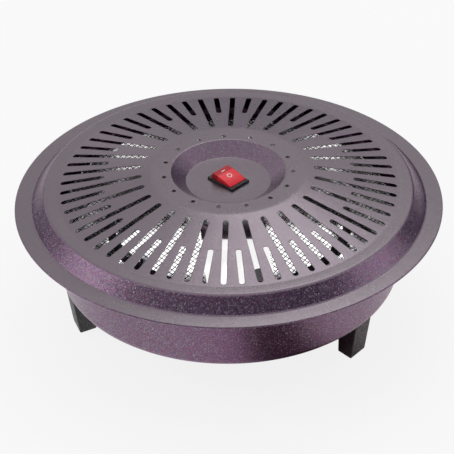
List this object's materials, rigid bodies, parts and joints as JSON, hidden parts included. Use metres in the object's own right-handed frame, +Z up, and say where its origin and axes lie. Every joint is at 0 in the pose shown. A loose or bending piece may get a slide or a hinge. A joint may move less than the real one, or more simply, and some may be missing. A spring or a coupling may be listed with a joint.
{
  "type": "electric brazier",
  "caption": "Round table-skirt heater: painted pan on feet, slotted pressed cover with a rocker switch in its central dish, tubular element and guard inside.",
  "frame": {"origin": "on the floor under the middle of the round body, between the feet", "axes": "+Z up, -Y towards the front as pictured, +X to the picture's right"},
  "size_m": [0.4, 0.4, 0.1402],
  "materials": {
    "casing_paint": "dark grey metallic powder coat with a fine sparkle and a purple tint",
    "zinc_steel": "bright zinc plate",
    "bright_reflector": "bright aluminised sheet",
    "element_tube": "dark heat-stained stainless tube",
    "dark_mesh": "dark expanded metal",
    "black_moulding": "fine grained black moulding",
    "red_rocker": "gloss red, slightly translucent",
    "white_moulding": "plain off-white moulding",
    "ceramic": "unglazed white steatite",
    "brass_contact": "bright brass",
    "lamp_glass": "clear glass",
    "lead_sleeve": "white heat-resistant sleeve"
  },
  "bodies": {
    "casing": {"block_nut": "zinc_steel", "block_screw": "zinc_steel", "body_pan": "casing_paint", "channel_rivets": "zinc_steel", "clip_rivets": "zinc_steel", "cord_gland": "black_moulding", "cutout_blades": "brass_contact", "cutout_lead": "lead_sleeve", "earth_nut": "zinc_steel", "earth_screw": "zinc_steel", "earth_tag": "brass_contact", "element_beads": "ceramic", "element_clips": "zinc_steel", "element_lead": "lead_sleeve", "element_pins": "brass_contact", "foot_left": "black_moulding", "foot_nuts": "zinc_steel", "foot_rear": "black_moulding", "foot_right": "black_moulding", "foot_screws": "zinc_steel", "gland_nut": "zinc_steel", "grille_cover": "casing_paint", "guard_mesh": "dark_mesh", "guard_rivets": "zinc_steel", "heating_ring": "element_tube", "lamp_lead": "lead_sleeve", "neon_lamp": "lamp_glass", "pole_screws": "brass_contact", "post_screws_lower": "zinc_steel", "post_screws_upper": "zinc_steel", "reflector_bush": "ceramic", "reflector_dish": "bright_reflector", "reflector_posts": "zinc_steel", "return_lead": "lead_sleeve", "rim_nuts": "zinc_steel", "rim_studs": "zinc_steel", "shield_nuts": "zinc_steel", "shield_studs": "zinc_steel", "supply_lead": "lead_sleeve", "switch_housing": "black_moulding", "switch_shield": "bright_reflector", "switch_terminals": "brass_contact", "terminal_block": "ceramic", "thermal_cutout": "black_moulding", "wiring_channel": "bright_reflector"},
    "rocker": {"switch_rocker": "red_rocker", "rocker_plunger": "white_moulding"},
    "contact_arm": {"contact_arm": "brass_contact"}
  },
  "joints": [
    {"name": "rocker_hinge", "type": "hinge", "parent": "casing", "child": "rocker", "pos_m": [0, 0, 0.1296], "axis": [-0.7071, -0.7071, 0], "range_deg": [0, 24]},
    {"name": "arm_hinge", "type": "hinge", "parent": "casing", "child": "contact_arm", "pos_m": [0, 0, 0.1165], "axis": [-0.7071, -0.7071, 0], "range_deg": [-14.4, 0]}
  ],
  "couplings": [
    {"joint": "arm_hinge", "follows": "rocker_hinge", "ratio": -0.6}
  ]
}
